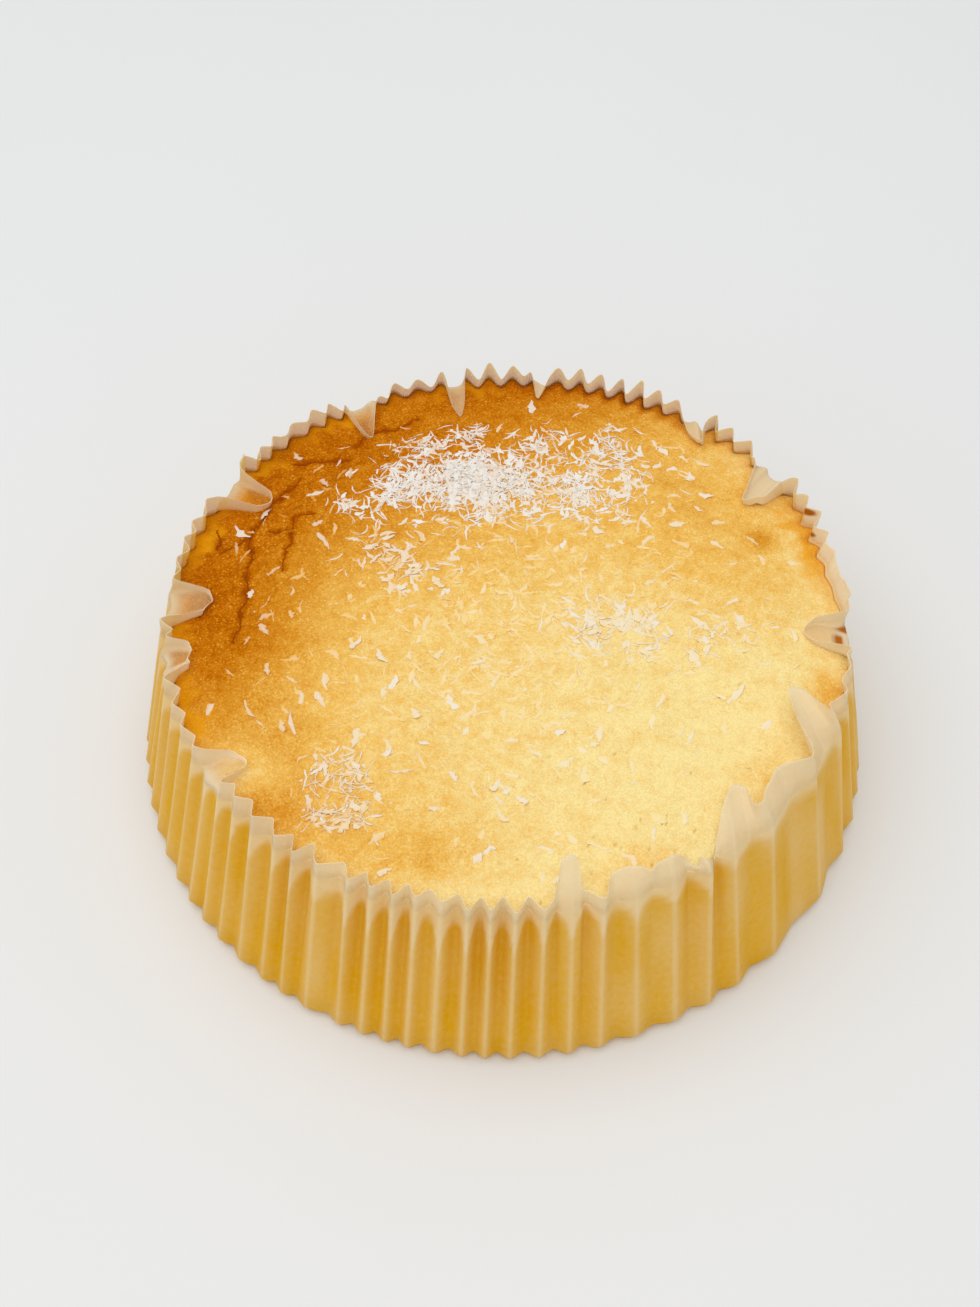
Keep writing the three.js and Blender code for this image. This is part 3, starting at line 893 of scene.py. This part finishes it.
def crust_looks(x, y, angle, depth):
    """Where the crust is brown, cracked, wrinkled, porous and yolk yellow, at a depth from the paper."""
    crack, side = crack_field(x, y)
    edge = smoothstep(-depth, -BROWN_EDGE_REACH, -BROWN_EDGE_FULL) * nearness(angle, BROWN_EDGE)
    ragged = depth + noise(x, y, YOLK_UNEVENNESS)
    yellow = np.clip(sum(nearness(angle, stretch) for stretch in YOLK_EDGE), 0, 1)
    return {
        "browning": mix(browning(x, y), 1, BROWN_EDGE_STRENGTH * edge),
        "crack": crack,
        "crack_side": side,
        "wrinkled": sum(patch.amount * patch_share(x, y, patch) for patch in WRINKLED),
        "pore": pore_field(x, y),
        "yolk": smoothstep(-ragged, -YOLK_REACH, -YOLK_FULL) * yellow,
    }


def inward(ring, distance):
    """A ring of points moved towards the middle line."""
    middle = ring.mean(axis=0) * (1, 1, 0)
    away = (ring - middle) * (1, 1, 0)
    return ring - away * (distance / np.hypot(away[:, :1], away[:, 1:2]))


def cake_side(inside):
    """Rings of points down the cake's side, and its foot."""
    rows = [inside[int(row)] for row in np.linspace(LOWER_ROWS, 0, SIDE_ROWS + 2)[1:]]
    rings = [inward(row, SIDE_GAP) for row in rows]
    rings.append(inward(rings[-1], HEEL_TUCK) * (1, 1, 0) + (0, 0, PAPER + SIDE_GAP))
    return rings


def side_quads(border, first, count):
    """Quads from the crust's border down the rings of the side."""
    there = first + np.arange(COLUMNS)
    quads = [np.stack([border, there, np.roll(there, -1), np.roll(border, -1)], axis=1)]
    for here in first + COLUMNS * np.arange(count - 1):
        quads.append(ring_quads(here, here + COLUMNS, COLUMNS)[:, ::-1])
    return np.concatenate(quads)


def make_cake(material, inside):
    """The crust reaches the paper's inner face, and the side and underside follow it with a small gap."""
    x, y, outward, angle, depth = crust_grid(inside)
    looks = crust_looks(x, y, angle, depth)
    opened = CRACK_DEPTH * smoothstep(looks["crack"], CRACK_OPENS, 1)
    z = crust_form(outward, angle, x, y) - opened - PORE_DEPTH * looks["pore"]
    crust = np.stack([x, y, z], axis=-1).reshape(-1, 3)
    rings = cake_side(inside)
    points = np.concatenate([crust, *rings, [[0, 0, PAPER + SIDE_GAP]]])
    last = len(points) - 1
    faces = grid_quads(CRUST_STEPS).tolist()
    faces += side_quads(grid_border(CRUST_STEPS), len(crust), len(rings)).tolist()
    faces += fan(last - COLUMNS, last)
    below = np.ones(len(points) - len(crust))
    attributes = {label: np.append(field, 0 * below) for label, field in looks.items()}
    attributes["browning"] = np.append(looks["browning"], HIDDEN_BROWNING * below)
    smooth = np.arange(len(faces)) < CRUST_STEPS**2
    piece = add_piece("cake_crust", points, faces, material, attributes, smooth)
    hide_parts("cake")


def shred_draws(patches, kinds, draw):
    """Random shreds of several kinds, strewn in patches."""
    choices, kinds = len(kinds), Kind(*np.array(kinds).T)
    curl = SHRED_CURL
    shreds = []
    for patch in patches:
        count = patch.shreds
        kind = draw.choice(choices, count, p=kinds.share)
        x, y = draw.normal((patch.x, patch.y), (patch.spread_x, patch.spread_y), (count, 2)).T
        shreds.append(Shred(
            x=x,
            y=y,
            lift=patch.pile * patch_share(x, y, patch) * draw.uniform(0, 1, count),
            heading=draw.uniform(0, 2 * np.pi, count),
            length=draw.uniform(kinds.length_from[kind], kinds.length_to[kind]),
            width=draw.uniform(kinds.width_from[kind], kinds.width_to[kind]),
            taper=kinds.taper[kind],
            thickness=draw.uniform(*SHRED_THICKNESSES, count),
            bend=draw.normal(0, curl.bend, count),
            kink=draw.normal(0, curl.kink, count),
            twist=draw.normal(0, curl.twist + PILED_TWIST * patch.pile, count),
            rise=draw.normal(0, curl.rise + PILED_RISE * patch.pile, count),
            peak=draw.uniform(-curl.peak, curl.peak, count),
            sheer=np.clip(draw.normal(patch.sheer, SHEER_SPREAD, count), 0, 1),
        ))
    drawn = np.concatenate([np.array(shred) for shred in shreds], axis=1)
    return drawn[:, np.hypot(drawn[0], drawn[1]) < SHRED_LIMIT]


def large_flakes(draw):
    """The largest single flakes, each at its own place."""
    flake, curl = Flake(*np.array(LARGE_FLAKES).T), FLAKE_CURL
    count = len(LARGE_FLAKES)
    flakes = Shred(
        x=flake.x,
        y=flake.y,
        lift=FLAKE_LIFT,
        heading=np.radians(flake.heading),
        length=flake.length,
        width=flake.width,
        taper=FLAKE_TAPER,
        thickness=FLAKE_THICKNESS,
        bend=draw.normal(0, curl.bend, count),
        kink=draw.normal(0, curl.kink, count),
        twist=draw.normal(0, curl.twist, count),
        rise=draw.normal(0, curl.rise, count),
        peak=draw.uniform(-curl.peak, curl.peak, count),
        sheer=draw.uniform(*FLAKE_SHEERS, count),
    )
    return np.array(np.broadcast_arrays(*flakes))


def shred_points(shred, draw):
    """At each station along each shred: two ragged edges and a ridge."""
    t = np.linspace(-1, 1, STATIONS)[None, :]
    heading = shred.heading + t * shred.bend + shred.kink * np.maximum(t - shred.peak, 0)
    x = shred.x + t * shred.length / 2 * np.cos(heading)
    y = shred.y + t * shred.length / 2 * np.sin(heading)
    z = crust_height(x, y) + shred.lift + np.maximum(t * shred.rise, -SHRED_SINKING)
    away = np.abs(t - shred.peak) / (1 + np.abs(shred.peak))
    half = shred.width / 2 * (1 - SHRED_NARROWING * away**shred.taper)
    left, right = draw.uniform(*SHRED_RAGGEDNESS, (2, *x.shape)) * half
    roll = shred.twist * (t + ROLL_OFFSET)
    sine, cosine = np.sin(heading), np.cos(heading)
    side = np.stack([-sine * np.cos(roll), cosine * np.cos(roll), np.sin(roll)], -1)
    up = np.stack([sine * np.sin(roll), -cosine * np.sin(roll), np.cos(roll)], -1)
    spine = np.stack([x, y, z], -1)
    ridge = spine + shred.thickness[..., None] * up
    first, second = spine + left[..., None] * side, spine - right[..., None] * side
    return np.stack([first, ridge, second], axis=2).reshape(-1, 3)


def shred_faces(count):
    """Quads along each shred's three sides, and its two end triangles."""
    starts = CORNERS * np.arange(STATIONS - 1)
    bands = [ring_quads(start, start + CORNERS, CORNERS)[:, ::-1] for start in starts]
    last = CORNERS * (STATIONS - 1)
    ends = np.array([[0, 1, 2], [last + 2, last + 1, last]])
    firsts = np.arange(count)[:, None, None] * CORNERS * STATIONS
    quads = (firsts + np.concatenate(bands)).reshape(-1, 4)
    return quads.tolist() + (firsts + ends).reshape(-1, 3).tolist()


def make_shreds(name, drawn, draw, material):
    """Flat kinked slivers with uneven edges, as one mesh."""
    shred = Shred(*drawn[:, :, None])
    points = shred_points(shred, draw)
    count = len(shred.x)
    thin = np.tile([SHRED_EDGE_SHEER, 1, SHRED_EDGE_SHEER], count * STATIONS)
    attributes = {
        "sheer": np.repeat(shred.sheer.ravel(), STATIONS * CORNERS) * thin,
        "browning": browning(points[:, 0], points[:, 1]),
    }
    faces = shred_faces(count)
    return add_piece(name, points, faces, material, attributes, np.zeros(len(faces), dtype=bool))


def make_coconut(white, baked):
    draw = np.random.default_rng(WHITE_SEED)
    heaped = shred_draws(HEAPS, HEAPED_KINDS, draw)
    clustered = shred_draws(CLUSTERS, CLUSTERED_KINDS, draw)
    scattered = shred_draws(SCATTERED, SCATTERED_KINDS, draw)
    loose = np.concatenate([large_flakes(draw), heaped, clustered, scattered], axis=1)
    pieces = [make_shreds("coconut_white", loose, draw, white)]
    draw = np.random.default_rng(BAKED_SEED)
    stuck = shred_draws(BAKED, BAKED_KINDS, draw)
    pieces.append(make_shreds("coconut_baked", stuck, draw, baked))
    for piece in pieces:
        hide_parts("cake")


def colour(red, green, blue):
    """A linear colour from the 0 to 255 values of a screen colour."""
    def linear(value):
        value = value / 255
        return value / 12.92 if value <= 0.04045 else ((value + 0.055) / 1.055) ** 2.4
    return (linear(red), linear(green), linear(blue), 1.0)


def new_material(name):
    material = bpy.data.materials.new(name)
    material.use_nodes = True
    tree = material.node_tree
    return material, tree, tree.nodes["Principled BSDF"]


def add_node(tree, kind, inputs=None, **settings):
    """A node whose inputs are numbers, colours or other nodes' sockets."""
    node = tree.nodes.new(kind)
    for label, value in settings.items():
        setattr(node, label, value)
    for key, value in (inputs or {}).items():
        if isinstance(value, bpy.types.NodeSocket):
            tree.links.new(value, node.inputs[key])
        else:
            node.inputs[key].default_value = value
    return node


def attribute(tree, name):
    return add_node(tree, "ShaderNodeAttribute", attribute_name=name).outputs["Fac"]


def math_node(tree, operation, first, second, third=0.0):
    inputs = {0: first, 1: second, 2: third}
    return add_node(tree, "ShaderNodeMath", inputs, operation=operation).outputs[0]


def mix_colours(tree, share, first, second, blend="MIX"):
    inputs = {0: share, 6: first, 7: second}
    node = add_node(tree, "ShaderNodeMix", inputs, data_type="RGBA", blend_type=blend)
    return node.outputs[2]


def map_range(tree, value, low, high, from_value=0.0, to_value=1.0):
    inputs = {0: value, 1: low, 2: high, 3: from_value, 4: to_value}
    return add_node(tree, "ShaderNodeMapRange", inputs, interpolation_type="SMOOTHSTEP").outputs[0]


GRAIN = {"Detail": 3.0, "Roughness": 0.6}


def own_place(tree):
    """Coordinates of the part itself, in metres."""
    return add_node(tree, "ShaderNodeTexCoord").outputs["Object"]


def grain(tree, size):
    """Noise from 0 to 1, fixed to the part, with spots of about the given size."""
    inputs = {"Vector": own_place(tree), "Scale": 1 / (size * MM), **GRAIN}
    return add_node(tree, "ShaderNodeTexNoise", inputs).outputs["Fac"]


def swing(tree, size):
    """The same noise from -0.5 to 0.5."""
    return math_node(tree, "SUBTRACT", grain(tree, size), 0.5)


def ramp(tree, value, stops):
    node = add_node(tree, "ShaderNodeValToRGB", {"Fac": value})
    elements = node.color_ramp.elements
    for position, shade in stops[1:-1]:
        elements.new(position).color = shade
    elements[0].position, elements[0].color = stops[0]
    elements[-1].position, elements[-1].color = stops[-1]
    return node.outputs["Color"]


Surface = namedtuple("Surface", "roughness specular bump_size bump_strength bump_depth")


def set_surface(tree, shader, shade, surface):
    """Gives a shader its colour, its sheen and its fine bumps."""
    inputs = {"Height": grain(tree, surface.bump_size), "Strength": surface.bump_strength}
    inputs["Distance"] = surface.bump_depth * MM
    normal = add_node(tree, "ShaderNodeBump", inputs).outputs["Normal"]
    tree.links.new(normal, shader.inputs["Normal"])
    tree.links.new(shade, shader.inputs["Base Color"])
    shader.inputs["Roughness"].default_value = surface.roughness
    shader.inputs["Specular IOR Level"].default_value = surface.specular


# The crust: its colours from pale to brown, and layers of grain that swing its browning
CRUST_COLOURS = [
    (0.0, colour(252, 229, 157)),
    (0.25, colour(242, 190, 92)),
    (0.5, colour(221, 150, 42)),
    (0.75, colour(200, 116, 6)),
    (1.0, colour(166, 80, 0)),
]
CRACK_SHADE_COLOUR = colour(150, 68, 4)
PORE_COLOUR = colour(224, 178, 92)
YOLK_COLOUR = colour(238, 164, 16)
CRUST_SURFACE = Surface(0.85, 0.02, 0.6, 0.8, 0.35)
Grain = namedtuple("Grain", "size pale brown")
CRUST_GRAIN = [Grain(0.55, 0.2, 0.9), Grain(1.6, 0.25, 0.4), Grain(5.0, 0.3, 0.5)]
# Painted light and shade of fine bumps and pores: the grain's size, the part of it used, and how far it
# darkens and lightens the crust
PAINTED_SHADING_GRAIN = 0.45
PAINTED_SHADING_GRAIN_RANGE = (0.3, 0.7)
PAINTED_SHADING_RANGE = (0.93, 1.09)
YOLK_MOTTLE = 1.6
YOLK_MOTTLE_STRENGTH, YOLK_LEAST = 0.6, 0.55
# Pale specks on the browner crust: paler crumb, and painted highlights on its tiny bumps
SPECK_SPACING = 0.9
SPECK_EDGE, SPECK_MIDDLE = 0.35, 0.1
SPECK_PALENESS = 0.4

# Painted shade around and in the cracks: how much their halo darkens the crust, how the lines wiggle, how
# wide they are and where they fade
CRACK_SHADE = 0.25
WIGGLE_SIZE, WIGGLE = 1.2, 0.8
LINE_WIDTHS = (0.1, 0.4)
LINE_FADE = (0.3, 0.8)

# Wrinkles, painted as lines of shade: the size and wander of their net, and how wide, strong and patchy
# its lines are
NET_SIZE = 6.0
NET_WANDER_SIZE, NET_WANDER = 3.0, 4.0
NET_DETAIL = 3.0
NET_LINE_WIDTH = 0.07
NET_STRENGTH = 0.5
NET_PATCH_SIZE = 7.0
NET_PATCH_RANGE = (0.4, 0.6)


def crust_material():
    material, tree, shader = new_material("baked_crust")
    crack, base = attribute(tree, "crack"), attribute(tree, "browning")
    # Painted shade: the crust is darkened around the cracks
    brown = math_node(tree, "MULTIPLY_ADD", crack, CRACK_SHADE, base)
    for layer in CRUST_GRAIN:
        depth = math_node(tree, "MULTIPLY_ADD", base, layer.brown - layer.pale, layer.pale)
        brown = math_node(tree, "MULTIPLY_ADD", swing(tree, layer.size), depth, brown)
    # Specks lighten the browner crust: paler crumb and painted highlights
    bright = math_node(tree, "MULTIPLY", specks(tree), base)
    brown = math_node(tree, "MULTIPLY_ADD", bright, -SPECK_PALENESS, brown)
    shade = ramp(tree, brown, CRUST_COLOURS)
    mottle = grain(tree, YOLK_MOTTLE)
    mottled = math_node(tree, "MULTIPLY_ADD", mottle, YOLK_MOTTLE_STRENGTH, YOLK_LEAST)
    yolk = math_node(tree, "MULTIPLY", attribute(tree, "yolk"), mottled)
    shade = mix_colours(tree, yolk, shade, YOLK_COLOUR)
    shade = mix_colours(tree, attribute(tree, "pore"), shade, PORE_COLOUR)
    # Painted shade along the crack lines
    shade = mix_colours(tree, crack_line(tree, crack), shade, CRACK_SHADE_COLOUR)
    # Painted shade in the fine net of wrinkles
    shade = mix_colours(tree, wrinkle_shade(tree), shade, CRACK_SHADE_COLOUR)
    # Painted light and shade of the crust's fine bumps, multiplied into its colour
    light = map_range(tree, grain(tree, PAINTED_SHADING_GRAIN), *PAINTED_SHADING_GRAIN_RANGE, *PAINTED_SHADING_RANGE)
    set_surface(tree, shader, mix_colours(tree, 1.0, shade, light, "MULTIPLY"), CRUST_SURFACE)
    return material


def crack_line(tree, crack):
    """1 on the cracks' thin, unsteady lines, where the shade in the cracks is painted."""
    wiggle = swing(tree, WIGGLE_SIZE)
    side = math_node(tree, "MULTIPLY_ADD", wiggle, WIGGLE, attribute(tree, "crack_side"))
    thin = map_range(tree, math_node(tree, "ABSOLUTE", side, 0), *LINE_WIDTHS, 1.0, 0.0)
    return math_node(tree, "MULTIPLY", thin, map_range(tree, crack, *LINE_FADE))


def wrinkle_shade(tree):
    """Faint lines of painted shade in a fine net of creases around the cracks."""
    where = own_place(tree)
    inputs = {"Vector": where, "Scale": 1 / (NET_WANDER_SIZE * MM), "Detail": NET_DETAIL}
    wander = add_node(tree, "ShaderNodeTexNoise", inputs).outputs["Color"]
    inputs = {0: wander, 1: (NET_WANDER * MM,) * 3, 2: where}
    shifted = add_node(tree, "ShaderNodeVectorMath", inputs, operation="MULTIPLY_ADD").outputs[0]
    inputs = {"Vector": shifted, "Scale": 1 / (NET_SIZE * MM)}
    cells = add_node(tree, "ShaderNodeTexVoronoi", inputs, feature="DISTANCE_TO_EDGE")
    line = map_range(tree, cells.outputs["Distance"], 0.0, NET_LINE_WIDTH, NET_STRENGTH, 0.0)
    patchy = map_range(tree, grain(tree, NET_PATCH_SIZE), *NET_PATCH_RANGE)
    faint = math_node(tree, "MULTIPLY", line, patchy)
    return math_node(tree, "MULTIPLY", faint, attribute(tree, "wrinkled"))


def specks(tree):
    """Small round specks, 1 in their middles. They make the crust paler: partly paler crumb, partly
    painted highlights on its tiny bumps.
    """
    inputs = {"Vector": own_place(tree), "Scale": 1 / (SPECK_SPACING * MM)}
    cells = add_node(tree, "ShaderNodeTexVoronoi", inputs)
    inputs = {0: cells.outputs["Distance"], 1: SPECK_EDGE, 2: SPECK_MIDDLE}
    return add_node(tree, "ShaderNodeMapRange", inputs).outputs[0]


# The paper: plain, brightened by painted light on its inner face at the back, whitened by painted light at
# its end and flaps, with the cake behind it, and stained
PAPER_COLOUR = colour(251, 232, 192)
PAINTED_BACKLIGHT_COLOUR = colour(255, 238, 110)
PAINTED_LIGHT_COLOUR = colour(255, 240, 208)
GOLDEN_COLOUR = colour(231, 173, 0)
STAIN_COLOUR = colour(178, 100, 18)
PAPER_SURFACE = Surface(0.5, 0.06, 2.5, 0.2, 0.3)
FIBRE_SIZE, FIBRE_STRENGTH = 1.5, 0.25


def paper_material():
    material, tree, shader = new_material("baking_paper")
    fibres = swing(tree, FIBRE_SIZE)
    golden = math_node(tree, "MULTIPLY_ADD", fibres, FIBRE_STRENGTH, attribute(tree, "golden"))
    # Painted light brightens the inner face at the back
    shade = mix_colours(tree, attribute(tree, "painted_backlight"), PAPER_COLOUR, PAINTED_BACKLIGHT_COLOUR)
    shade = mix_colours(tree, golden, shade, GOLDEN_COLOUR)
    shade = mix_colours(tree, attribute(tree, "stain"), shade, STAIN_COLOUR)
    # Painted light: a highlight along the paper's end and light shining through the thin flaps
    shade = mix_colours(tree, attribute(tree, "rim"), shade, PAINTED_LIGHT_COLOUR)
    set_surface(tree, shader, shade, PAPER_SURFACE)
    tree.links.new(attribute(tree, "cover"), shader.inputs["Alpha"])
    return material


# Coconut, and how brown the crust is that shows through it
WHITE_FLESH = colour(240, 235, 227)
BAKED_FLESH = colour(252, 234, 200)
COCONUT_SURFACE = Surface(0.65, 0.1, 0.4, 0.2, 0.1)
TINT_BROWNING = 0.7
SPOT_SIZE, SPOT_STRENGTH = 0.6, 0.3


def coconut_material(name, flesh):
    """Coconut that the crust below tints where it is sheer."""
    material, tree, shader = new_material(name)
    below = math_node(tree, "MULTIPLY", attribute(tree, "browning"), TINT_BROWNING)
    spots = swing(tree, SPOT_SIZE)
    sheer = math_node(tree, "MULTIPLY_ADD", spots, SPOT_STRENGTH, attribute(tree, "sheer"))
    shade = mix_colours(tree, sheer, flesh, ramp(tree, below, CRUST_COLOURS))
    set_surface(tree, shader, shade, COCONUT_SURFACE)
    return material


# The photograph's view, with its place in metres
CAMERA_PLACE = Vector((-0.0032, -0.2324, 0.3528))
LOOKING_DOWN = 54.02
CAMERA_PITCH = math.radians(90 - LOOKING_DOWN)
CAMERA_ROLL = math.radians(-0.71)
FOCAL_LENGTH = 42.67
SENSOR = 36.0
CLIP_START = 0.01


def set_camera():
    camera = bpy.data.cameras.new("camera")
    camera.sensor_fit = "VERTICAL"
    camera.sensor_height = SENSOR
    camera.lens = FOCAL_LENGTH
    camera.clip_start = CLIP_START
    holder = add_object("camera", camera)
    turn = Matrix.Rotation(CAMERA_PITCH, 4, "X") @ Matrix.Rotation(CAMERA_ROLL, 4, "Z")
    holder.matrix_world = Matrix.Translation(CAMERA_PLACE) @ turn
    bpy.context.scene.camera = holder


# Light and floor, in metres and watts
SOFTBOX_SIDE = 1.6
SOFTBOX_PLACE = Vector((-0.2, -0.05, 1.3))
SOFTBOX_POWER = 9.4
SKY_COLOUR = (1.0, 1.0, 1.0, 1.0)
SKY_STRENGTH = 0.63
FLOOR_HALF = 3.0
FLOOR_DARK, FLOOR_LIGHT = (0.79, 0.80, 0.80, 1), (0.83, 0.84, 0.84, 1)
FLOOR_ROUGHNESS = 0.6
FLOOR_MOTTLE = 400


def set_light():
    world = bpy.data.worlds.new("studio")
    world.use_nodes = True
    sky = world.node_tree.nodes["Background"]
    sky.inputs["Color"].default_value = SKY_COLOUR
    sky.inputs["Strength"].default_value = SKY_STRENGTH
    bpy.context.scene.world = world
    light = bpy.data.lights.new("softbox", "AREA")
    light.shape = "SQUARE"
    light.size = SOFTBOX_SIDE
    light.energy = SOFTBOX_POWER
    holder = add_object("softbox", light)
    holder.location = SOFTBOX_PLACE
    holder.rotation_euler = (-SOFTBOX_PLACE).to_track_quat("-Z", "Y").to_euler()
    bpy.context.scene.view_settings.view_transform = "Standard"


def make_floor():
    material, tree, shader = new_material("studio_floor")
    shade = mix_colours(tree, grain(tree, FLOOR_MOTTLE), FLOOR_DARK, FLOOR_LIGHT)
    tree.links.new(shade, shader.inputs["Base Color"])
    shader.inputs["Roughness"].default_value = FLOOR_ROUGHNESS
    corners = [(-1, -1), (1, -1), (1, 1), (-1, 1)]
    mesh = bpy.data.meshes.new("floor")
    mesh.from_pydata([(FLOOR_HALF * a, FLOOR_HALF * b, 0) for a, b in corners], [], [(0, 1, 2, 3)])
    mesh.materials.append(material)
    floor = add_object("floor", mesh)


set_camera()
set_light()
make_floor()
paper_inside = make_paper(paper_material())
make_cake(crust_material(), paper_inside)
white = coconut_material("coconut_white", WHITE_FLESH)
baked = coconut_material("coconut_baked", BAKED_FLESH)
make_coconut(white, baked)
